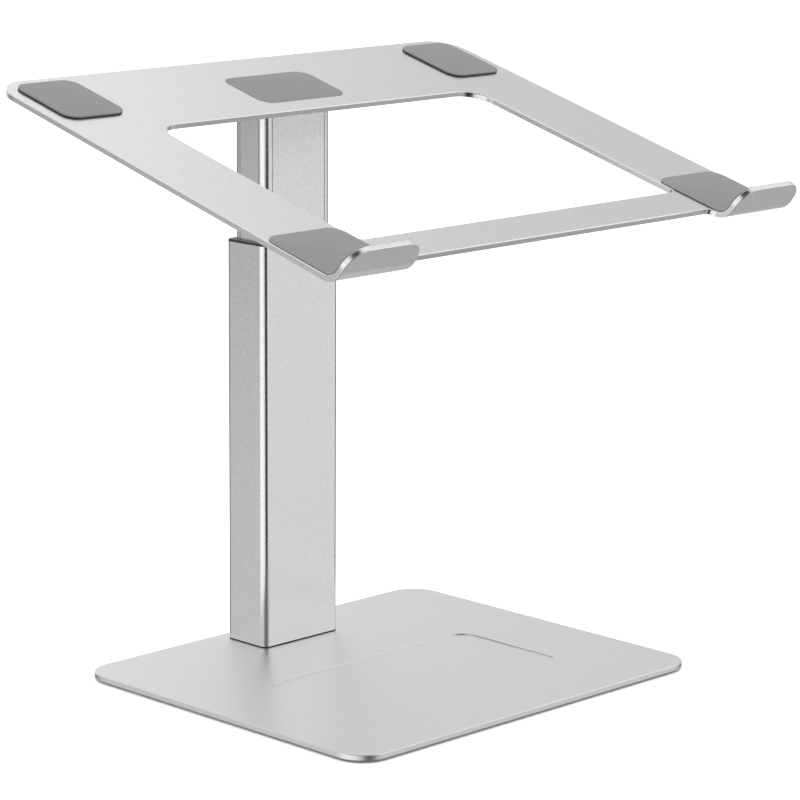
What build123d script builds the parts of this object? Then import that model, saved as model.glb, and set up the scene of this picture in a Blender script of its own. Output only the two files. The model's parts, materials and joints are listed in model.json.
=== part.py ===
from build123d import *
import os
from math import cos, radians, sin, tan

# Laptop stand: a steel base plate, a telescoping column with a gas spring inside it,
# and a tilting sheet platform with a window and two front hooks.
# Millimetres. Z = 0 is the desk, X = 0 the middle, Y = 0 the middle of the base plate,
# and +Y points to the back. The parts stand at mid height and at the resting tilt.

os.makedirs("parts", exist_ok=True)

# base
base_width = 240.0
base_depth = 204.0
base_sheet = 3.0
base_corner = 16.0
mat_sheet = 1.2
mat_inset = 4.0
mat_hole_radius = 6.5
pocket_width = 143.0
pocket_depth = 71.0
pocket_corner = 9.0
pocket_sink = 0.6
pocket_rim = 0.3
pocket_y = -18.0
gasket_sheet = 0.6
edge_round = 0.5
soft_edge = 1.0

# column tubes
column_y = 80.5
outer_width = 53.0
outer_depth = 29.4
outer_corner = 3.6
outer_wall = 1.8
inner_width = 46.4
inner_depth = 24.0
inner_corner = 4.0
inner_wall = 1.7
groove_from_edge = 5.0
groove_width = 0.6
groove_sink = 0.3
slide_gap = 0.1

# heights
base_top = mat_sheet + base_sheet
column_bottom = base_top + gasket_sheet
outer_top = 215.6
pin_z = 280.2
inner_top = pin_z + 1.0
inner_bottom = 83.2
foot_height = 20.0
collar_flange = 1.2
collar_sleeve = 24.0
collar_lead = 0.4
shoe_lip = 2.0
shoe_height = 28.0

# tilting platform, in its own axes: v runs up the slope to the back, n stands off it,
# and both start at the hinge pin
tilt = 15.36
platform_width = 316.0
platform_sheet = 3.0
platform_top_n = 13.6
platform_rear_v = 43.1
platform_corner = 18.0
window_width = 222.8
window_rear_v = -26.7
window_front_v = -172.6
window_corner = 14.0
window_front_corner = 4.0
bar_front_v = -196.0
arm_fillet = 4.0
notch_reach = 60.0
bend_v = -199.2
bend_radius = 8.0
lip_lean = 22.0
lip_length = 13.2
lip_corner = 11.5

# pads
center_pad_width = 58.0
center_pad_depth = 35.5
center_pad_v = 2.3
center_pad_sheet = 0.9
center_recess = 0.8
center_recess_gap = 0.15
rear_pad_width = 37.0
rear_pad_depth = 45.5
rear_pad_x = 132.2
rear_pad_v = 13.6
rear_pad_sheet = 1.2
pad_corner = 7.5
pad_edge_round = 0.3
front_pad_sheet = 0.7
front_pad_rear_v = -157.5
front_pad_inset = 0.3
front_pad_short_of_lip = 1.2

# tilt hinge, from the middle of the pin outwards
pin_radius = 3.0
pin_gap = 0.05
knuckle_radius = 5.5
knuckle_half = 11.0
face_gap = 0.02
washer_sheet = 1.0
washer_radius = 5.2
ear_sheet = 4.5
disc_sheet = 0.4
disc_dish = 0.33
disc_radius = 5.0
disc_count = 2
nut_flats = 8.0
nut_sheet = 2.9
thread_radius = 2.5
thread_end = 0.3
pin_head_radius = 4.8
pin_head_sheet = 2.3
pin_socket_flats = 3.0
pin_socket_depth = 1.8
flange_width = 40.0
flange_depth = 29.0
flange_sheet = 2.4
flange_corner = 3.0
neck_sheet = 7.0
head_height = 25.0
saddle_drop = 7.0

# gas spring
spring_radius = 7.5
spring_bore = 6.3
spring_bottom = 100.0
spring_top = 246.0
spring_end_wall = 5.0
spring_stud_radius = 4.0
spring_stud_length = 14.0
rod_radius = 3.0
rod_bottom = 12.0
rod_top = 183.0
piston_bottom = 171.0
piston_height = 10.0
seal_height = 3.4
seal_sink = 1.0
guide_height = 12.0
fit_gap = 0.05
tolerance = 0.01

# countersunk screws: shank radius, head radius, length, socket across flats
base_screw = (2.5, 4.75, 15.0, 3.0)
wall_screw = (2.0, 3.6, 8.0, 2.5)
platform_screw = (2.0, 3.8, 4.4, 2.5)
screw_angle = 90.0
screw_gap = 0.05
base_screw_pitch = (34.0, 14.0)
foot_screw_pitch = 18.0
foot_screw_z = 15.5
head_screw_pitch = 24.0
head_screw_z = 262.0
platform_screw_pitch = (30.0, 19.0)
hole_margin = 1.0

slope_v = (0, cos(radians(tilt)), sin(radians(tilt)))
slope_n = (0, -sin(radians(tilt)), cos(radians(tilt)))
pin_center = (0, column_y, pin_z)
platform_plane = Plane(origin=pin_center, x_dir=(1, 0, 0), z_dir=slope_n)
side_plane = Plane(origin=pin_center, x_dir=slope_v, z_dir=(1, 0, 0))
hinge_plane = Plane(origin=pin_center, x_dir=(0, 1, 0), z_dir=(1, 0, 0))


def save(builder, name):
    builder.part.label = name
    export_step(builder.part, "parts/" + name + ".step")


def column_level(z):
    """A level plane with its origin on the column's axis."""
    return Plane(origin=(0, column_y, z), z_dir=(0, 0, 1))


def across_hinge(x):
    """An upright plane across the hinge pin, facing +X."""
    return hinge_plane.offset(x)


def flat_screw(shank_radius, head_radius, length, socket_flats):
    """One countersunk screw: its head's top at Z = 0, its shank down -Z."""
    head_height = (head_radius - shank_radius) / tan(radians(screw_angle / 2))
    tip = shank_radius / 3
    socket_depth = head_height * 3 / 4
    with BuildPart() as screw:
        with BuildSketch(Plane.XZ):
            with BuildLine():
                Polyline(
                    (0, 0),
                    (head_radius, 0),
                    (shank_radius, -head_height),
                    (shank_radius, tip - length),
                    (shank_radius - tip, -length),
                    (0, -length),
                    close=True,
                )
            make_face()
        revolve(axis=Axis.Z)
        with BuildSketch(Plane.XY):
            RegularPolygon(socket_flats / 2, 6, major_radius=False)
        extrude(amount=-socket_depth, mode=Mode.SUBTRACT)
    return screw.part


def screw_hole(size, depth):
    """The countersunk hole that such a screw sits in, at the current locations."""
    shank_radius, head_radius = size[0], size[1]
    CounterSinkHole(shank_radius + screw_gap, head_radius + screw_gap, depth, screw_angle)


# the planes that the screws' heads lie in, each facing out of the heads
base_screw_plane = Plane(origin=(0, column_y, mat_sheet), x_dir=(1, 0, 0), z_dir=(0, 0, -1))
foot_screw_plane = Plane(
    origin=(0, column_y + outer_depth / 2, foot_screw_z), x_dir=(1, 0, 0), z_dir=(0, 1, 0))
head_screw_plane = Plane(
    origin=(0, column_y + inner_depth / 2, head_screw_z), x_dir=(1, 0, 0), z_dir=(0, 1, 0))
platform_screw_plane = Plane(
    platform_plane.offset(platform_top_n - center_recess) * Location((0, center_pad_v, 0)))


# ---- base -----------------------------------------------------------------------

with BuildPart() as base_plate:
    with BuildSketch(Plane.XY.offset(mat_sheet)):
        RectangleRounded(base_width, base_depth, base_corner)
    extrude(amount=base_sheet)
    rims = base_plate.edges().group_by(Axis.Z)
    fillet(rims[0] + rims[-1], edge_round)
    with BuildSketch(Plane.XY.offset(base_top)):
        with Locations((0, pocket_y)):
            RectangleRounded(pocket_width, pocket_depth, pocket_corner)
    extrude(amount=-pocket_sink, mode=Mode.SUBTRACT)
    pocket_edges = base_plate.faces().sort_by(Axis.Z)[-1].inner_wires()[0].edges()
    fillet(pocket_edges, pocket_rim)
    with Locations(base_screw_plane), GridLocations(*base_screw_pitch, 2, 2):
        screw_hole(base_screw, base_sheet)
save(base_plate, "base_plate")

with BuildPart() as base_mat:
    with BuildSketch(Plane.XY):
        mat_corner = base_corner - mat_inset
        RectangleRounded(base_width - 2 * mat_inset, base_depth - 2 * mat_inset, mat_corner)
        with Locations((0, column_y)), GridLocations(*base_screw_pitch, 2, 2):
            Circle(mat_hole_radius, mode=Mode.SUBTRACT)
    extrude(amount=mat_sheet)
save(base_mat, "base_mat")

with BuildPart() as base_screws:
    with Locations(base_screw_plane), GridLocations(*base_screw_pitch, 2, 2):
        add(flat_screw(*base_screw))
save(base_screws, "base_screws")


# ---- fixed column ---------------------------------------------------------------

outer_bore = (outer_width - 2 * outer_wall, outer_depth - 2 * outer_wall)
outer_bore_corner = outer_corner - outer_wall
slide_hole = (inner_width + 2 * slide_gap, inner_depth + 2 * slide_gap)

with BuildPart() as column_gasket:
    with BuildSketch(column_level(base_top)):
        RectangleRounded(outer_width, outer_depth, outer_corner)
        with GridLocations(*base_screw_pitch, 2, 2):
            Circle(base_screw[0] + screw_gap, mode=Mode.SUBTRACT)
    extrude(amount=gasket_sheet)
save(column_gasket, "column_gasket")

with BuildPart() as outer_column:
    with BuildSketch(column_level(column_bottom)):
        RectangleRounded(outer_width, outer_depth, outer_corner)
        RectangleRounded(*outer_bore, outer_bore_corner, mode=Mode.SUBTRACT)
    extrude(amount=outer_top - column_bottom)
    with Locations(foot_screw_plane), GridLocations(foot_screw_pitch, 0, 2, 1):
        screw_hole(wall_screw, outer_wall + hole_margin)
save(outer_column, "outer_column")

with BuildPart() as column_foot:
    with BuildSketch(column_level(column_bottom)):
        RectangleRounded(outer_bore[0] - screw_gap, outer_bore[1] - screw_gap, outer_bore_corner)
    extrude(amount=foot_height)
    chamfer(column_foot.faces().sort_by(Axis.Z)[-1].edges(), edge_round)
    with Locations(base_screw_plane), GridLocations(*base_screw_pitch, 2, 2):
        Hole(base_screw[0] + screw_gap, base_sheet + foot_height)
    with Locations(foot_screw_plane), GridLocations(foot_screw_pitch, 0, 2, 1):
        Hole(wall_screw[0] + screw_gap, wall_screw[2] + screw_gap)
    with Locations(column_level(column_bottom + foot_height)):
        Hole(rod_radius, column_bottom + foot_height - rod_bottom)
save(column_foot, "column_foot")

with BuildPart() as foot_screws:
    with Locations(foot_screw_plane), GridLocations(foot_screw_pitch, 0, 2, 1):
        add(flat_screw(*wall_screw))
save(foot_screws, "foot_screws")

with BuildPart() as guide_collar:
    with BuildSketch(column_level(outer_top - collar_sleeve)):
        RectangleRounded(*outer_bore, outer_bore_corner)
    extrude(amount=collar_sleeve)
    with BuildSketch(column_level(outer_top)):
        RectangleRounded(outer_width, outer_depth, outer_corner)
    extrude(amount=collar_flange)
    chamfer(guide_collar.faces().sort_by(Axis.Z)[-1].edges(), collar_lead)
    with BuildSketch(column_level(outer_top + collar_flange)):
        RectangleRounded(*slide_hole, inner_corner + slide_gap)
    extrude(amount=-collar_sleeve - collar_flange, mode=Mode.SUBTRACT)
    mouth = guide_collar.faces().sort_by(Axis.Z)[-1].inner_wires()[0].edges()
    chamfer(mouth, collar_lead)
save(guide_collar, "guide_collar")


# ---- gas spring -----------------------------------------------------------------

def sleeve(radius, hole_radius, bottom, height):
    """A round sleeve that stands on the column's axis."""
    with BuildPart() as made:
        with BuildSketch(column_level(bottom)):
            Circle(radius)
            Circle(hole_radius, mode=Mode.SUBTRACT)
        extrude(amount=height)
    return made.part


with BuildPart() as gas_spring_rod:
    with BuildSketch(column_level(rod_bottom)):
        Circle(rod_radius)
    extrude(amount=rod_top - rod_bottom)
    chamfer(gas_spring_rod.edges().filter_by(GeomType.CIRCLE), edge_round)
save(gas_spring_rod, "gas_spring_rod")

with BuildPart() as gas_spring_piston:
    piston_radius = spring_bore - fit_gap
    add(sleeve(piston_radius, rod_radius, piston_bottom, piston_height))
    seal_bottom = piston_bottom + (piston_height - seal_height) / 2
    add(sleeve(spring_bore, piston_radius - seal_sink, seal_bottom, seal_height), mode=Mode.SUBTRACT)
save(gas_spring_piston, "gas_spring_piston")

with BuildPart() as gas_spring_guide:
    add(sleeve(spring_bore, rod_radius + fit_gap, spring_bottom, guide_height))
save(gas_spring_guide, "gas_spring_guide")

with BuildPart() as gas_spring_cylinder:
    with BuildSketch(column_level(spring_bottom)):
        Circle(spring_radius)
    extrude(amount=spring_top - spring_bottom)
    fillet(gas_spring_cylinder.edges().filter_by(GeomType.CIRCLE), soft_edge)
    with BuildSketch(column_level(spring_top)):
        Circle(spring_stud_radius)
    extrude(amount=spring_stud_length)
    with BuildSketch(column_level(spring_bottom)):
        Circle(spring_bore)
    extrude(amount=spring_top - spring_end_wall - spring_bottom, mode=Mode.SUBTRACT)
save(gas_spring_cylinder, "gas_spring_cylinder")


# ---- sliding column -------------------------------------------------------------

inner_bore = (inner_width - 2 * inner_wall, inner_depth - 2 * inner_wall)
inner_bore_corner = inner_corner - inner_wall

with BuildPart() as inner_column:
    with BuildSketch(column_level(inner_bottom)):
        RectangleRounded(inner_width, inner_depth, inner_corner)
        groove_x = inner_width / 2 - groove_from_edge
        groove_y = inner_depth / 2 - groove_from_edge
        with GridLocations(2 * groove_x, inner_depth, 2, 2):
            Rectangle(groove_width, 2 * groove_sink, mode=Mode.SUBTRACT)
        with GridLocations(inner_width, 2 * groove_y, 2, 2):
            Rectangle(2 * groove_sink, groove_width, mode=Mode.SUBTRACT)
        RectangleRounded(*inner_bore, inner_bore_corner, mode=Mode.SUBTRACT)
    extrude(amount=inner_top - inner_bottom)
    with Locations(head_screw_plane), GridLocations(head_screw_pitch, 0, 2, 1):
        screw_hole(wall_screw, inner_wall + hole_margin)
save(inner_column, "inner_column")

with BuildPart() as guide_shoe:
    with BuildSketch(column_level(inner_bottom - shoe_lip)):
        RectangleRounded(
            outer_bore[0] - 2 * slide_gap, outer_bore[1] - 2 * slide_gap, outer_bore_corner)
        RectangleRounded(*inner_bore, inner_bore_corner, mode=Mode.SUBTRACT)
    extrude(amount=shoe_height)
    with BuildSketch(column_level(inner_bottom)):
        RectangleRounded(inner_width, inner_depth, inner_corner)
    extrude(amount=shoe_height, mode=Mode.SUBTRACT)
save(guide_shoe, "guide_shoe")

head_top = pin_z - saddle_drop
head_bottom = head_top - head_height
ear_inner = knuckle_half + face_gap + washer_sheet + face_gap
ear_outer = ear_inner + ear_sheet
pin_hole_radius = pin_radius + pin_gap


def ear(x):
    """One hinge ear of the head: an upright cheek with a round top, from x on."""
    with BuildPart() as cheek:
        with BuildSketch(across_hinge(x)):
            Circle(knuckle_radius)
            with Locations((0, -saddle_drop / 2)):
                Rectangle(2 * knuckle_radius, saddle_drop)
            Circle(pin_radius, mode=Mode.SUBTRACT)
        extrude(amount=ear_sheet)
    return cheek.part


with BuildPart() as column_head:
    with BuildSketch(column_level(head_bottom)):
        RectangleRounded(inner_bore[0] - screw_gap, inner_bore[1] - screw_gap, inner_bore_corner)
    extrude(amount=head_height)
    add(ear(-ear_outer))
    add(ear(ear_inner))
    with Locations(head_screw_plane), GridLocations(head_screw_pitch, 0, 2, 1):
        Hole(wall_screw[0] + screw_gap, wall_screw[2] + screw_gap)
    with Locations(Plane(origin=(0, column_y, head_bottom), z_dir=(0, 0, -1))):
        Hole(spring_stud_radius + fit_gap, spring_top + spring_stud_length - head_bottom + hole_margin)
save(column_head, "column_head")

with BuildPart() as head_screws:
    with Locations(head_screw_plane), GridLocations(head_screw_pitch, 0, 2, 1):
        add(flat_screw(*wall_screw))
save(head_screws, "head_screws")


# ---- friction hinge -------------------------------------------------------------

nut_start = ear_outer + disc_count * (disc_sheet + disc_dish)
pin_end = nut_start + nut_sheet + thread_end

with BuildPart() as hinge_pin:
    with BuildSketch(across_hinge(-ear_outer)):
        Circle(pin_head_radius)
    extrude(amount=-pin_head_sheet)
    fillet(hinge_pin.faces().sort_by(Axis.X)[0].edges(), soft_edge)
    with BuildSketch(across_hinge(-ear_outer)):
        Circle(pin_radius)
    extrude(amount=ear_outer + nut_start)
    with BuildSketch(across_hinge(nut_start)):
        Circle(thread_radius)
    extrude(amount=pin_end - nut_start)
    chamfer(hinge_pin.faces().sort_by(Axis.X)[-1].edges(), edge_round)
    with BuildSketch(across_hinge(-ear_outer - pin_head_sheet)):
        RegularPolygon(pin_socket_flats / 2, 6, major_radius=False)
    extrude(amount=pin_socket_depth, mode=Mode.SUBTRACT)
save(hinge_pin, "hinge_pin")

with BuildPart() as friction_washers:
    for x in (-knuckle_half - face_gap - washer_sheet, knuckle_half + face_gap):
        with BuildSketch(across_hinge(x)):
            Circle(washer_radius)
            Circle(pin_hole_radius, mode=Mode.SUBTRACT)
        extrude(amount=washer_sheet)
save(friction_washers, "friction_washers")

with BuildPart() as disc_springs:
    for x, dish in ((ear_outer, disc_dish), (ear_outer + disc_sheet + disc_dish, 0)):
        with BuildSketch(Plane(origin=pin_center, x_dir=(1, 0, 0), z_dir=(0, -1, 0))):
            with BuildLine():
                Polyline(
                    (x + dish, pin_hole_radius),
                    (x + disc_dish - dish, disc_radius),
                    (x + disc_dish - dish + disc_sheet, disc_radius),
                    (x + dish + disc_sheet, pin_hole_radius),
                    close=True,
                )
            make_face()
        revolve(axis=Axis(pin_center, (1, 0, 0)))
save(disc_springs, "disc_springs")

with BuildPart() as hinge_nut:
    with BuildSketch(across_hinge(nut_start)):
        RegularPolygon(nut_flats / 2, 6, major_radius=False)
        Circle(thread_radius, mode=Mode.SUBTRACT)
    extrude(amount=nut_sheet)
save(hinge_nut, "hinge_nut")


# ---- platform -------------------------------------------------------------------

platform_bottom_n = platform_top_n - platform_sheet
window_depth = window_rear_v - window_front_v
window_v = (window_rear_v + window_front_v) / 2
arm_width = (platform_width - window_width) / 2
arm_x = (platform_width + window_width) / 4
bend_sweep = 90 - lip_lean
bend_n = platform_top_n + bend_radius
lip_out = (-cos(radians(lip_lean)), -sin(radians(lip_lean)))
lip_up = (-sin(radians(lip_lean)), cos(radians(lip_lean)))


def bend_point(radius, along):
    """A point that lies `radius` out from the bend's centre and `along` up the lip."""
    return (
        bend_v + radius * lip_out[0] + along * lip_up[0],
        bend_n + radius * lip_out[1] + along * lip_up[1],
    )


def bent_strip(width, rear_v, radius_in, radius_out, lip):
    """A sheet that runs forward from rear_v, round the bend and up the lip."""
    with BuildPart() as strip:
        with BuildSketch(side_plane.offset(-width / 2)):
            with BuildLine():
                Line((rear_v, bend_n - radius_out), (bend_v, bend_n - radius_out))
                CenterArc((bend_v, bend_n), radius_out, -90, -bend_sweep)
                Polyline(
                    bend_point(radius_out, 0),
                    bend_point(radius_out, lip),
                    bend_point(radius_in, lip),
                    bend_point(radius_in, 0),
                )
                CenterArc((bend_v, bend_n), radius_in, -90 - bend_sweep, bend_sweep)
                Polyline(
                    (bend_v, bend_n - radius_in),
                    (rear_v, bend_n - radius_in),
                    (rear_v, bend_n - radius_out),
                )
            make_face()
        extrude(amount=width)
    return strip.part


lip_out_axis = Axis(pin_center, Vector(slope_v) * lip_out[0] + Vector(slope_n) * lip_out[1])
slope_n_axis = Axis(pin_center, slope_n)


def side_place(edge):
    """The v and n of an edge's middle."""
    middle = side_plane.to_local_coords(edge.center())
    return middle.X, middle.Y


def through_edge(edge):
    """Whether a straight edge runs through the sheet, from one side of it to the other."""
    return edge.geom_type == GeomType.LINE and edge.length < platform_sheet + tolerance


def bend_line(edge):
    """Whether an edge is a line where the flat sheet or the lip runs into the bend."""
    v, n = side_place(edge)
    along_x = edge.geom_type == GeomType.LINE and abs((edge % 0).X) > 1 - tolerance
    return along_x and v < bend_v + tolerance and n < bend_n + tolerance


with BuildPart() as platform:
    add(bent_strip(platform_width, platform_rear_v, bend_radius, bend_radius + platform_sheet, lip_length))
    rear_edges = platform.edges().filter_by(slope_n_axis).sort_by(Axis.Y)[-2:]
    fillet(rear_edges, platform_corner)
    with BuildSketch(platform_plane.offset(platform_top_n)) as window:
        with Locations((0, window_v)):
            Rectangle(window_width, window_depth)
        fillet(window.vertices().group_by(Axis.Y)[-1], window_corner)
        fillet(window.vertices().group_by(Axis.Y)[0], window_front_corner)
    extrude(amount=-platform_sheet, mode=Mode.SUBTRACT)
    with BuildSketch(platform_plane.offset(platform_bottom_n)) as notch:
        with Locations((0, bar_front_v - notch_reach / 2)):
            Rectangle(window_width, notch_reach)
        fillet(notch.vertices().group_by(Axis.Y)[-1], arm_fillet)
    extrude(amount=notch_reach, mode=Mode.SUBTRACT)
    fillet(platform.edges().filter_by(lip_out_axis), lip_corner)
    rims = [e for e in platform.edges() if not through_edge(e) and not bend_line(e)]
    fillet(rims, edge_round)
    with BuildSketch(platform_plane.offset(platform_top_n)):
        with Locations((0, center_pad_v)):
            RectangleRounded(
                center_pad_width + 2 * center_recess_gap,
                center_pad_depth + 2 * center_recess_gap,
                pad_corner + center_recess_gap,
            )
    extrude(amount=-center_recess, mode=Mode.SUBTRACT)
    with Locations(platform_screw_plane), GridLocations(*platform_screw_pitch, 2, 2):
        screw_hole(platform_screw, platform_sheet)
save(platform, "platform")

with BuildPart() as platform_screws:
    with Locations(platform_screw_plane), GridLocations(*platform_screw_pitch, 2, 2):
        add(flat_screw(*platform_screw))
save(platform_screws, "platform_screws")


# ---- pads -----------------------------------------------------------------------

def flat_pad(width, depth, bottom_n, sheet, x, v):
    """A flat pad with round corners and a softened top edge, on the platform's slope."""
    with BuildPart() as pad:
        with BuildSketch(platform_plane.offset(bottom_n)):
            with Locations((x, v)):
                RectangleRounded(width, depth, pad_corner)
        extrude(amount=sheet)
        fillet(pad.faces().sort_by(slope_n_axis)[-1].edges(), pad_edge_round)
    return pad


save(
    flat_pad(
        center_pad_width,
        center_pad_depth,
        platform_top_n - center_recess,
        center_pad_sheet,
        0,
        center_pad_v,
    ),
    "center_pad",
)
for side, x in (("left", -rear_pad_x), ("right", rear_pad_x)):
    rear_pad = flat_pad(rear_pad_width, rear_pad_depth, platform_top_n, rear_pad_sheet, x, rear_pad_v)
    save(rear_pad, "rear_" + side + "_pad")


def hook_pad(x):
    """A pad that covers an arm's front end and runs up the inside of its lip."""
    width = arm_width - 2 * front_pad_inset
    inner_radius = bend_radius - front_pad_sheet
    with BuildPart() as pad:
        strip = bent_strip(
            width, front_pad_rear_v, inner_radius, bend_radius, lip_length - front_pad_short_of_lip)
        add(strip.moved(Location((x, 0, 0))))
        rear_corners = pad.edges().filter_by(slope_n_axis).sort_by(Axis.Y)[-2:]
        fillet(rear_corners, pad_corner)
        fillet(pad.edges().filter_by(lip_out_axis), lip_corner - front_pad_short_of_lip)
    return pad


save(hook_pad(-arm_x), "front_left_pad")
save(hook_pad(arm_x), "front_right_pad")


# ---- tilt bracket ---------------------------------------------------------------

def on_neck_side(edge):
    """Whether an edge lies on the front or the back of the bracket's neck."""
    return abs(abs(side_place(edge)[0]) - neck_sheet / 2) < tolerance


with BuildPart() as tilt_bracket:
    with BuildSketch(platform_plane.offset(platform_bottom_n)):
        with Locations((0, center_pad_v)):
            RectangleRounded(flange_width, flange_depth, flange_corner)
    extrude(amount=-flange_sheet)
    with BuildSketch(side_plane.offset(-knuckle_half)):
        Circle(knuckle_radius)
        with Locations((0, (platform_bottom_n - flange_sheet) / 2)):
            Rectangle(neck_sheet, platform_bottom_n - flange_sheet)
    extrude(amount=2 * knuckle_half)
    neck_edges = tilt_bracket.edges().filter_by(Axis.X).filter_by(on_neck_side)
    fillet(neck_edges.sort_by(slope_n_axis)[-2:], soft_edge)
    with Locations(hinge_plane.offset(knuckle_half)):
        Hole(pin_hole_radius)
    with Locations(platform_screw_plane), GridLocations(*platform_screw_pitch, 2, 2):
        Hole(platform_screw[0] + screw_gap, platform_screw[2] + hole_margin)
save(tilt_bracket, "tilt_bracket")
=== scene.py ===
import json
import math
import bmesh
import bpy
from mathutils import Matrix, Vector


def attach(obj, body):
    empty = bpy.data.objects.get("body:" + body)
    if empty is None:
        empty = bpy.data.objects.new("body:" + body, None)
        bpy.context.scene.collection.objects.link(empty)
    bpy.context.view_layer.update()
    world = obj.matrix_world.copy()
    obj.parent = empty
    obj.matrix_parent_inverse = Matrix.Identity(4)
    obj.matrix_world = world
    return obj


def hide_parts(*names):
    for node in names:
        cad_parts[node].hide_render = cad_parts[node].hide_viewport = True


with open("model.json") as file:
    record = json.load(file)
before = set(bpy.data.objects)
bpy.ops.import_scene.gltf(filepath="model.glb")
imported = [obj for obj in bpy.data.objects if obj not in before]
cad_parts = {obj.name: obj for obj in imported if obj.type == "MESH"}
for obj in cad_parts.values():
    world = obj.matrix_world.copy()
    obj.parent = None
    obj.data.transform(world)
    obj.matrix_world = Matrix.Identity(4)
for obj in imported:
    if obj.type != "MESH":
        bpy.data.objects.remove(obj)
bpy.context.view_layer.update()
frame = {"nodes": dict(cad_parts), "record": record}
nodes = frame["nodes"]
scene = bpy.context.scene
print("frame loaded:", len(nodes), "nodes")


# one socket of a node tree; sums, differences and products on it add Math nodes
class Wire:
    def __init__(self, space, socket):
        self.space = space
        self.socket = socket

    def math(self, operation, first, second):
        return self.space.node("ShaderNodeMath", {"operation": operation}, {0: first, 1: second})

    def __add__(self, other):
        return self.math("ADD", self, other)

    def __sub__(self, other):
        return self.math("SUBTRACT", self, other)

    def __rsub__(self, other):
        return self.math("SUBTRACT", other, self)

    def __mul__(self, other):
        return self.math("MULTIPLY", self, other)

    __radd__ = __add__
    __rmul__ = __mul__


# a node tree that is filled node by node
class NodeSpace:
    def __init__(self, tree):
        self.tree = tree
        tree.nodes.clear()

    def node(self, kind, settings, inputs, output=0):
        made = self.tree.nodes.new(kind)
        for key, value in settings.items():
            setattr(made, key, value)
        for key, value in inputs.items():
            if isinstance(value, Wire):
                self.tree.links.new(value.socket, made.inputs[key])
            else:
                made.inputs[key].default_value = value
        return Wire(self, made.outputs[output]) if made.outputs else None

    # a soft step from toLow to toHigh as the value goes from low to high
    def smooth(self, value, low, high, toLow=0.0, toHigh=1.0):
        return self.node(
            "ShaderNodeMapRange",
            {"interpolation_type": "SMOOTHSTEP"},
            {"Value": value, "From Min": low, "From Max": high, "To Min": toLow, "To Max": toHigh},
        )

    def noise(self, coords, scale, detail, roughness=0.5):
        return self.node(
            "ShaderNodeTexNoise", {},
            {"Vector": coords, "Scale": scale, "Detail": detail, "Roughness": roughness},
        )

    # from the first colour to the second
    def mixColour(self, factor, first, second):
        return self.node(
            "ShaderNodeMix", {"data_type": "RGBA"}, {0: factor, 6: first, 7: second}, output=2)

    def bump(self, height, distance, strength):
        return self.node(
            "ShaderNodeBump", {}, {"Height": height, "Distance": distance, "Strength": strength})


def grey(level, warmth=0.0):
    return (level + warmth, level, level - warmth, 1.0)


def newMaterial(name):
    material = bpy.data.materials.new(name)
    material.use_nodes = True
    return material, NodeSpace(material.node_tree)


def finishMaterial(space, inputs):
    shader = space.node("ShaderNodeBsdfPrincipled", {}, inputs)
    space.node("ShaderNodeOutputMaterial", {}, {"Surface": shader})


def objectCoords(space):
    return space.node("ShaderNodeTexCoord", {}, {}, output=3)


# the camera's place in metres and its angles in degrees
cameraSetup = {
    "place": (-1.1842, -1.18813, 0.49797),
    "yaw": -45.0438,
    "pitch": -11.9540,
    "roll": 0.3677,
    "lens": 153.163,
    "sensor": 36.0,
    "clip": (0.1, 100),
}


def makeCamera(setup):
    yaw, pitch, roll = (math.radians(setup[key]) for key in ("yaw", "pitch", "roll"))
    forward = Vector((-math.sin(yaw) * math.cos(pitch), math.cos(yaw) * math.cos(pitch), math.sin(pitch)))
    level = Vector((math.cos(yaw), math.sin(yaw), 0))
    upright = level.cross(forward)
    right = level * math.cos(roll) + upright * math.sin(roll)
    up = upright * math.cos(roll) - level * math.sin(roll)
    data = bpy.data.cameras.new("camera")
    data.lens = setup["lens"]
    data.sensor_width = setup["sensor"]
    data.clip_start = setup["clip"][0]
    data.clip_end = setup["clip"][1]
    camera = bpy.data.objects.new("camera", data)
    turn = Matrix((right, up, -forward)).transposed().to_4x4()
    camera.matrix_world = Matrix.Translation(setup["place"]) @ turn
    scene.collection.objects.link(camera)
    scene.camera = camera


makeCamera(cameraSetup)
print("camera placed")


studio = {
    "floorSize": 30.0,
    "floorTone": 0.90,
    "floorRough": 0.9,
    "floorShine": 0.1,
    "skyLightPower": 3.4,
    "skyLightSpread": 120.0,
}


def makeFloor(setup):
    mesh = bpy.data.meshes.new("floor")
    bm = bmesh.new()
    bmesh.ops.create_grid(bm, x_segments=1, y_segments=1, size=setup["floorSize"])
    bm.to_mesh(mesh)
    bm.free()
    floor = bpy.data.objects.new("floor", mesh)
    scene.collection.objects.link(floor)
    material, space = newMaterial("pale floor")
    finishMaterial(space, {
        "Base Color": grey(setup["floorTone"]), "Roughness": setup["floorRough"],
        "Specular IOR Level": setup["floorShine"]})
    mesh.materials.append(material)
    floor.visible_glossy = False     # the metal mirrors the studio walls, not the floor


# a broad light from above that brightens the floor and the pads and leaves no hard shadow
def makeSkyLight(setup):
    data = bpy.data.lights.new("skyLight", "SUN")
    data.energy = setup["skyLightPower"]
    data.angle = math.radians(setup["skyLightSpread"])
    light = bpy.data.objects.new("skyLight", data)
    scene.collection.objects.link(light)
    light.visible_glossy = False


# the studio's walls, as a tone for each direction: turn 0 is where the camera stands and slope
# 0 is level, both in degrees
walls = {
    "facing": 225,
    "lowSlopes": (-36, -12), "lowTones": (0.53, 0.90),
    "highSide": 135, "highEdge": 0.06, "highLevel": 16, "highDrift": 0.0100,
    "highBlur": 0.09, "highTones": (0.71, 1.08),
    "horizon": (0, 9),
    "ground": (-50, -64), "groundShade": 0.6,
    "flagTurns": (0, 8, 42, 50), "flagSlopes": (-60, 32, 8), "flagSwing": (-10, -8, 20),
    "flagShade": 0.97,
    "leftWallSlopes": (-13, -6), "leftWallShades": (0.22, 0.62),
    "blueness": 1.01,
    "shownTone": 0.985,
}

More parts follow.
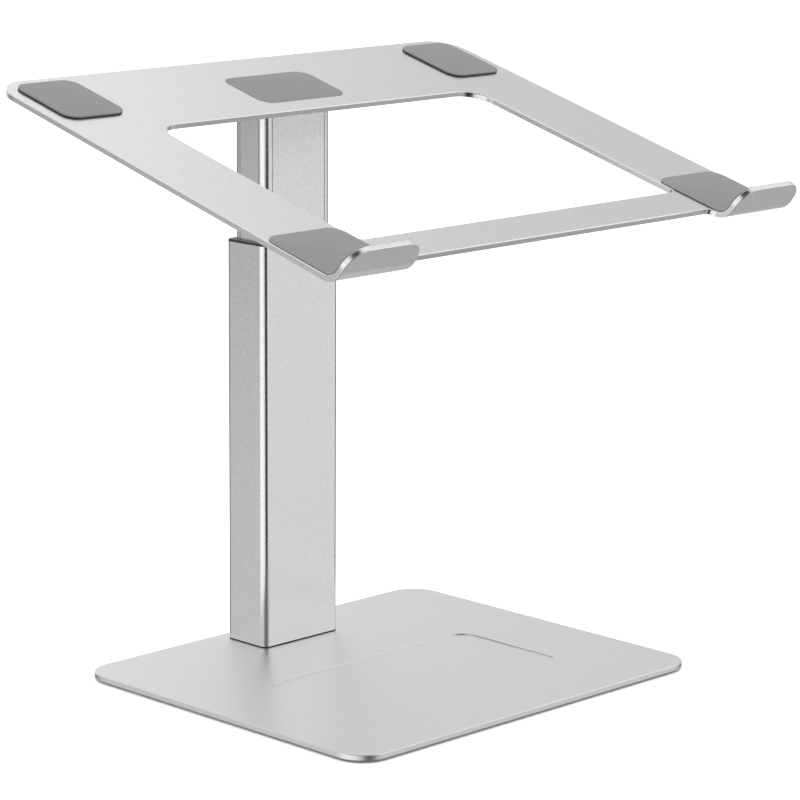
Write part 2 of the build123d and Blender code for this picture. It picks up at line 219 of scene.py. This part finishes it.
# areas of the walls: from, to and soft edge, by turn and by slope
wallAreas = {
    "leftWall": ((-128, -85, 4), (-28, 3, 4)),
    "leftPanel": ((-81, 4, 4), (-50, 12, 8)),
    "cornerPanel": ((16, 58, 4), (-10, 20, 2)),
    "rightPanel": ((66, 118, 10), (3, 34, 4)),
    "rightShade": ((84, 116, 6), (-46, -24, 5)),
    "rightDrape": ((112, 154, 5), (-21, -6, 3)),
    "leftDrape": ((-154, -114, 5), (-21, -6, 3)),
}
wallLights = {"leftPanel": 0.42, "cornerPanel": 0.4, "rightPanel": 0.75}
wallShades = {"rightShade": 0.35, "rightDrape": 0.8, "leftDrape": 0.8}

# round patches: azimuth, elevation, radius of the core and of the soft edge
wallSpots = {
    "edgeShade": (107, 44, 7, 15, 0.6),
    "hookShade": (200, 62, 18, 30, 0.96),
    "hookLight": (-8, 44, 14, 28, 0.32),
}


def makeWorld(setup):
    world = bpy.data.worlds.new("studio")
    world.use_nodes = True
    scene.world = world
    space = NodeSpace(world.node_tree)
    direction = space.node("ShaderNodeTexCoord", {}, {}, output=0)

    def toward(azimuth, elevation):
        a, e = math.radians(azimuth), math.radians(elevation)
        aim = (math.cos(a) * math.cos(e), math.sin(a) * math.cos(e), math.sin(e))
        return space.node(
            "ShaderNodeVectorMath", {"operation": "DOT_PRODUCT"}, {0: direction, 1: aim}, output=1)

    def spot(name):
        azimuth, elevation, core, reach, amount = wallSpots[name]
        outer, inner = math.cos(math.radians(reach)), math.cos(math.radians(core))
        return space.smooth(toward(azimuth, elevation), outer, inner) * amount

    def band(value, low, high, soft):
        return space.smooth(value, low - soft, low + soft) * space.smooth(value, high + soft, high - soft)

    def area(name):
        turns, slopes = wallAreas[name]
        return band(turn, *turns) * band(slope, *slopes)

    ahead, aside, height = toward(setup["facing"], 0), toward(setup["facing"] + 90, 0), toward(0, 90)
    turn = space.node("ShaderNodeMath", {"operation": "ARCTAN2"}, {0: aside, 1: ahead})
    turn = turn * (180 / math.pi)
    slope = space.node("ShaderNodeMath", {"operation": "ARCSINE"}, {0: height}) * (180 / math.pi)

    # below the horizon the tone falls towards the ground; above it the back wall's left is lighter
    low = space.smooth(slope, *setup["lowSlopes"], *setup["lowTones"])
    edge = setup["highEdge"] - (slope - setup["highLevel"]) * setup["highDrift"]
    high = space.smooth(
        toward(setup["highSide"], 0) - edge, -setup["highBlur"], setup["highBlur"], *setup["highTones"])
    above = space.smooth(slope, *setup["horizon"])
    tone = low * (1 - above) + high * above

    leftShade = space.smooth(slope, *setup["leftWallSlopes"], *setup["leftWallShades"])
    tone = tone * (1 - area("leftWall") * leftShade)
    tone = tone * (1 - spot("edgeShade"))
    for name, amount in wallLights.items():
        tone = tone + area(name) * amount

    # a black flag right of the camera, wider above than below
    swingFrom, swingTo, swing = setup["flagSwing"]
    nearFrom, nearTo, farFrom, farTo = setup["flagTurns"]
    near = space.smooth(turn + space.smooth(slope, swingFrom, swingTo) * swing, nearFrom, nearTo)
    flag = near * space.smooth(turn, farTo, farFrom) * band(slope, *setup["flagSlopes"])
    tone = tone * (1 - flag * setup["flagShade"])

    tone = tone * (1 - space.smooth(slope, *setup["ground"]) * setup["groundShade"])
    for name, amount in wallShades.items():
        tone = tone * (1 - area(name) * amount)
    tone = tone * (1 - spot("hookShade")) + spot("hookLight")

    colour = space.node(
        "ShaderNodeCombineColor", {}, {"Red": tone, "Green": tone, "Blue": tone * setup["blueness"]})
    shown = space.node("ShaderNodeLightPath", {}, {}, output=0)
    lit = space.node("ShaderNodeBackground", {}, {"Color": colour})
    plain = space.node("ShaderNodeBackground", {}, {"Color": grey(setup["shownTone"])})
    mixed = space.node("ShaderNodeMixShader", {}, {0: shown, 1: lit, 2: plain})
    space.node("ShaderNodeOutputWorld", {}, {"Surface": mixed})


makeFloor(studio)
makeSkyLight(studio)
makeWorld(walls)
scene.view_settings.view_transform = "Standard"
print("studio lit")


# a grey that a noise takes from darker to lighter, the lighter one a little warm
def mottled(space, noise, setup):
    darker, lighter = (setup["tone"] * share for share in setup["spread"])
    return space.mixColour(noise, grey(darker), grey(lighter, setup.get("warmth", 0.0)))


# a value that a noise moves up and down; the noise is 0.5 on average
def uneven(value, noise, amount):
    return value + (noise - 0.5) * amount


# depths are in metres; a noise is its scale in features per metre, its detail and its roughness
satin = {
    "grainGloss": 0.06, "cloud": (14.0, 2.0), "cloudGloss": 0.04,
    "drawing": (1500.0, 2.0), "drawingStretch": (1.0, 1.0, 0.01), "depth": 0.000003, "bump": 0.7,
}
aluminium = {
    "platform": {
        **satin, "name": "bead blasted aluminium", "tone": 0.735, "spread": (0.84, 1.16),
        "rough": 0.25, "grain": (950.0, 3.0, 0.65), "drawingHeight": 0.0,
    },
    "tube": {
        **satin, "name": "drawn anodised aluminium", "tone": 0.730, "spread": (0.83, 1.17),
        "rough": 0.23, "grain": (1000.0, 3.0, 0.65), "drawingHeight": 0.5,
    },
}


# satin sheet or tube: a fine mottle in tone and gloss, and faint drawing lines along a tube
def satinAluminium(setup):
    material, space = newMaterial(setup["name"])
    coords = objectCoords(space)
    grain = space.noise(coords, *setup["grain"])
    cloud = space.noise(coords, *setup["cloud"])
    height = grain
    if setup["drawingHeight"]:
        stretched = space.node(
            "ShaderNodeMapping", {}, {"Vector": coords, "Scale": setup["drawingStretch"]})
        height = grain + space.noise(stretched, *setup["drawing"]) * setup["drawingHeight"]
    rough = uneven(setup["rough"], grain, setup["grainGloss"])
    finishMaterial(space, {
        "Base Color": mottled(space, grain, setup), "Metallic": 1.0,
        "Roughness": uneven(rough, cloud, setup["cloudGloss"]),
        "Normal": space.bump(height, setup["depth"], setup["bump"]),
    })
    return material


coat = {
    "name": "silver metal coat", "tone": 0.72, "spread": (0.88, 1.12), "rough": 0.39,
    "grain": (1000.0, 3.0, 0.7), "grainGloss": 0.12, "cloud": (11.0, 2.0), "cloudGloss": 0.05,
    "peel": (420.0, 1.0), "peelHeight": 1.5, "depth": 0.000006, "bump": 0.7,
}


# metallic paint: flakes in the tone and a slight orange peel in the surface
def silverCoat(setup):
    material, space = newMaterial(setup["name"])
    coords = objectCoords(space)
    grain = space.noise(coords, *setup["grain"])
    peel = space.noise(coords, *setup["peel"])
    cloud = space.noise(coords, *setup["cloud"])
    rough = uneven(setup["rough"], grain, setup["grainGloss"])
    finishMaterial(space, {
        "Base Color": mottled(space, grain, setup), "Metallic": 1.0,
        "Roughness": uneven(rough, cloud, setup["cloudGloss"]),
        "Normal": space.bump(grain + peel * setup["peelHeight"], setup["depth"], setup["bump"]),
    })
    return material


bare = {
    "spread": (0.86, 1.08), "warmth": 0.006, "gloss": 0.2, "stain": (160.0, 2.0), "bump": 0.8,
    "stretch": (1.0, 1.0, 1.0),
}
bareMetal = {
    "cast": {
        **bare, "name": "cast aluminium", "tone": 0.46, "rough": 0.50, "grain": (900.0, 4.0, 0.6),
        "depth": 0.00004,
    },
    "ground": {
        **bare, "name": "ground steel", "tone": 0.62, "rough": 0.20, "grain": (1500.0, 4.0, 0.6),
        "depth": 0.000006, "stretch": (1.0, 1.0, 0.03),
    },
    "zinc": {
        **bare, "name": "zinc plated steel", "tone": 0.60, "rough": 0.30,
        "grain": (1200.0, 4.0, 0.6), "depth": 0.00001,
    },
}


# metal with a tool's grain and faint stains
def plainMetal(setup):
    material, space = newMaterial(setup["name"])
    coords = objectCoords(space)
    stretched = space.node("ShaderNodeMapping", {}, {"Vector": coords, "Scale": setup["stretch"]})
    grain = space.noise(stretched, *setup["grain"])
    stain = space.noise(coords, *setup["stain"])
    finishMaterial(space, {
        "Base Color": mottled(space, stain, setup), "Metallic": 1.0,
        "Roughness": uneven(setup["rough"], grain, setup["gloss"]),
        "Normal": space.bump(grain, setup["depth"], setup["bump"]),
    })
    return material


dark = {
    "spread": (0.8, 1.35), "warmth": 0.0005, "gloss": 0.18, "dust": (60.0, 3.0), "bump": 0.8,
}
darkStuff = {
    "blackSteel": {
        **dark, "name": "black coated steel", "tone": 0.022, "rough": 0.38, "specular": 0.5,
        "grain": (900.0, 3.0, 0.6), "depth": 0.00002,
    },
    "acetal": {
        **dark, "name": "black acetal", "tone": 0.012, "rough": 0.36, "specular": 0.4,
        "grain": (2200.0, 3.0, 0.6), "depth": 0.00001,
    },
    "rubber": {
        **dark, "name": "black rubber", "tone": 0.016, "rough": 0.75, "specular": 0.3,
        "grain": (1300.0, 3.0, 0.6), "depth": 0.00005,
    },
    # near black for the lower band of the flat pads' sides
    "padSideBand": {
        **dark, "name": "near black pad side band", "tone": 0.020, "rough": 0.7, "specular": 0.25,
        "grain": (1500.0, 3.0, 0.6), "depth": 0.00002,
    },
}


# black plastic, rubber or paint with a little dust
def darkMatter(setup):
    material, space = newMaterial(setup["name"])
    coords = objectCoords(space)
    grain = space.noise(coords, *setup["grain"])
    dust = space.noise(coords, *setup["dust"])
    finishMaterial(space, {
        "Base Color": mottled(space, dust, setup), "Specular IOR Level": setup["specular"],
        "Roughness": uneven(setup["rough"], grain, setup["gloss"]),
        "Normal": space.bump(grain, setup["depth"], setup["bump"]),
    })
    return material


silicone = {
    "name": "grey silicone", "tone": 0.140, "spread": (0.94, 1.06), "rough": 0.62, "gloss": 0.12,
    "grain": (1900.0, 3.0, 0.6), "cloud": (45.0, 2.0), "cloudTone": 1.15, "cloudAmount": 0.12,
    "specular": 0.32, "sheen": 0.05, "depth": 0.00002, "bump": 0.6,
}


# soft dull grey with a fine grain and lighter clouds
def padSilicone(setup):
    material, space = newMaterial(setup["name"])
    coords = objectCoords(space)
    grain = space.noise(coords, *setup["grain"])
    cloud = space.noise(coords, *setup["cloud"])
    lighter = grey(setup["tone"] * setup["cloudTone"])
    tone = space.mixColour(cloud * setup["cloudAmount"], mottled(space, grain, setup), lighter)
    finishMaterial(space, {
        "Base Color": tone, "Roughness": uneven(setup["rough"], grain, setup["gloss"]),
        "Specular IOR Level": setup["specular"], "Sheen Weight": setup["sheen"],
        "Normal": space.bump(grain, setup["depth"], setup["bump"]),
    })
    return material


finishes = {"base": silverCoat(coat), "silicone": padSilicone(silicone)}
finishes.update({key: satinAluminium(setup) for key, setup in aluminium.items()})
finishes.update({key: plainMetal(setup) for key, setup in bareMetal.items()})
finishes.update({key: darkMatter(setup) for key, setup in darkStuff.items()})

finishNodes = {
    "base": ("base_plate",),
    "platform": ("platform",),
    "tube": ("outer_column", "inner_column"),
    "cast": ("column_foot", "column_head"),
    "ground": ("gas_spring_rod", "friction_washers", "disc_springs"),
    "zinc": ("base_screws", "foot_screws", "head_screws", "platform_screws", "hinge_pin", "hinge_nut"),
    "blackSteel": ("gas_spring_cylinder", "tilt_bracket"),
    "acetal": ("guide_collar", "guide_shoe", "gas_spring_piston", "gas_spring_guide"),
    "rubber": ("base_mat", "column_gasket"),
}
for finish, names in finishNodes.items():
    for name in names:
        nodes[name].data.materials.clear()
        nodes[name].data.materials.append(finishes[finish])
print("materials assigned:", len(finishes))


# the platform's own axes, from the tilt joint: x across, y up the slope, z off the sheet
slopeSetup = {"joint": "platform_tilt", "tilt": 15.36}


def platformMatrix(setup):
    joint = next(j for j in frame["record"]["behaviour"]["joints"] if j["name"] == setup["joint"])
    return Matrix.Translation(joint["pos_m"]) @ Matrix.Rotation(math.radians(setup["tilt"]), 4, "X")


platformPlace = platformMatrix(slopeSetup)


# lowest and highest corner of a node, in the platform's axes
def slopeBox(nodeName):
    inverse = platformPlace.inverted()
    points = [inverse @ vertex.co for vertex in nodes[nodeName].data.vertices]
    return [Vector(pick(point[axis] for point in points) for axis in range(3)) for pick in (min, max)]


padFinish = {"weld": 1e-7, "sharpAngle": 40}


# a mesh shaped in the platform's axes becomes a piece that stands for a CAD pad
def finishPad(bm, nodeName, materials):
    bmesh.ops.remove_doubles(bm, verts=bm.verts, dist=padFinish["weld"])
    bmesh.ops.transform(bm, matrix=platformPlace, verts=bm.verts)
    bmesh.ops.recalc_face_normals(bm, faces=bm.faces)
    mesh = bpy.data.meshes.new(nodeName + "_soft")
    for face in bm.faces:
        face.smooth = True
    bm.to_mesh(mesh)
    bm.free()
    mesh.set_sharp_from_angle(angle=math.radians(padFinish["sharpAngle"]))
    for material in materials:
        mesh.materials.append(material)
    pad = bpy.data.objects.new(nodeName + "_soft", mesh)
    scene.collection.objects.link(pad)
    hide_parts(nodeName)
    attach(pad, "platform_body")


# what an extrusion made, of one kind
def picked(made, kind):
    return [item for item in made if isinstance(item, kind)]


# pushes a face out of the solid and gives its new place
def pushed(bm, faces, shift):
    made = bmesh.ops.extrude_face_region(bm, geom=faces)["geom"]
    bmesh.ops.translate(bm, vec=shift, verts=picked(made, bmesh.types.BMVert))
    return picked(made, bmesh.types.BMFace)


# rounds corners or edges, all of them in the same manner
def rounded(bm, geometry, size, steps, kind):
    bmesh.ops.bevel(
        bm, geom=geometry, offset=size, offset_type="OFFSET", affect=kind, segments=steps,
        profile=0.5, material=-1)


def rimEdges(bm, faces):
    inside = set(faces)
    return [edge for edge in bm.edges if sum(face in inside for face in edge.link_faces) == 1]


# an extrusion leaves its first face behind, inside the solid
def dropInnerFaces(bm):
    inner = [face for face in bm.faces if all(len(edge.link_faces) > 2 for edge in face.edges)]
    bmesh.ops.delete(bm, geom=inner, context="FACES_ONLY")


flatPad = {"corner": 0.0075, "cornerSteps": 10, "roll": 0.0004, "rollSteps": 4, "sideBandHeight": 0.00045}


# a flat pad: round corners, a near-black band round the lower part of its sides and a rolled top edge
def makeFlatPad(nodeName, setup):
    low, high = slopeBox(nodeName)
    bm = bmesh.new()
    place = Matrix.Translation(((low.x + high.x) / 2, (low.y + high.y) / 2, low.z))
    stretch = Matrix.Diagonal((high.x - low.x, high.y - low.y, 1, 1))
    bmesh.ops.create_grid(bm, x_segments=1, y_segments=1, size=0.5, matrix=place @ stretch)
    rounded(bm, bm.verts[:], setup["corner"], setup["cornerSteps"], "VERTICES")
    top = bm.faces[:]
    # the lower band of the sides gets the near-black finish, the upper sides and the top the silicone
    for step, material in ((setup["sideBandHeight"], 1), (high.z - low.z - setup["sideBandHeight"], 0)):
        top = pushed(bm, top, (0, 0, step))
        for edge in rimEdges(bm, top):
            for face in edge.link_faces:
                if face not in top:
                    face.material_index = material
    dropInnerFaces(bm)
    rounded(bm, rimEdges(bm, top), setup["roll"], setup["rollSteps"], "EDGES")
    finishPad(bm, nodeName, (finishes["silicone"], finishes["padSideBand"]))


for name in ("center_pad", "rear_left_pad", "rear_right_pad"):
    makeFlatPad(name, flatPad)

hookPad = {
    "sheet": 0.0007, "bendStart": -0.1992, "bendRadius": 0.0080, "lean": 22.0,
    "rearCorner": 0.0075, "lipCorner": 0.0103, "cornerSteps": 10, "bendSteps": 16,
    "roll": 0.0003, "rollSteps": 3, "rimAngle": 1.2,
}


# a pad that runs forward on an arm, round the bend and up the lip
def makeHookPad(nodeName, setup):
    low, high = slopeBox(nodeName)
    sheet, radius, bendStart = setup["sheet"], setup["bendRadius"], setup["bendStart"]
    lean = math.radians(setup["lean"])
    sweep = math.pi / 2 - lean
    up = Vector((0, -math.sin(lean), math.cos(lean)))
    center = Vector((0, bendStart, low.z + radius))
    lip = (high.z - center.z + radius * math.cos(sweep)) / up.z

    # the pad's cross-section at its rear end, then the flat, the bend and the lip
    bm = bmesh.new()
    rearMiddle = Vector(((low.x + high.x) / 2, high.y, low.z + sheet / 2))
    stretch = Matrix.Diagonal((high.x - low.x, 1, sheet, 1))
    upright = Matrix.Rotation(math.pi / 2, 4, "X")
    bmesh.ops.create_grid(
        bm, x_segments=1, y_segments=1, size=0.5,
        matrix=Matrix.Translation(rearMiddle) @ stretch @ upright)
    end = pushed(bm, bm.faces[:], (0, bendStart - high.y, 0))
    turned = bmesh.ops.spin(
        bm, geom=end, cent=center, axis=(-1, 0, 0), angle=sweep, steps=setup["bendSteps"])
    end = pushed(bm, picked(turned["geom_last"], bmesh.types.BMFace), up * lip)
    bmesh.ops.remove_doubles(bm, verts=bm.verts, dist=padFinish["weld"])
    dropInnerFaces(bm)
    bmesh.ops.recalc_face_normals(bm, faces=bm.faces)

    # the two short edges, through the sheet, at an end's corners
    def cornerEdges(middle):
        half = Vector(((high.x - low.x) / 2, 0, 0))
        return [
            edge for edge in bm.edges for corner in (middle - half, middle + half)
            if edge.calc_length() < sheet * 1.01
            and (edge.verts[0].co + edge.verts[1].co - 2 * corner).length < sheet
        ]

    for middle, size in ((rearMiddle, "rearCorner"), (end[0].calc_center_median(), "lipCorner")):
        rounded(bm, cornerEdges(middle), setup[size], setup["cornerSteps"], "EDGES")
    rims = [edge for edge in bm.edges if edge.is_manifold and edge.calc_face_angle() > setup["rimAngle"]]
    rounded(bm, rims, setup["roll"], setup["rollSteps"], "EDGES")
    finishPad(bm, nodeName, (finishes["silicone"],))


for name in ("front_left_pad", "front_right_pad"):
    makeHookPad(name, hookPad)
print("pads made")
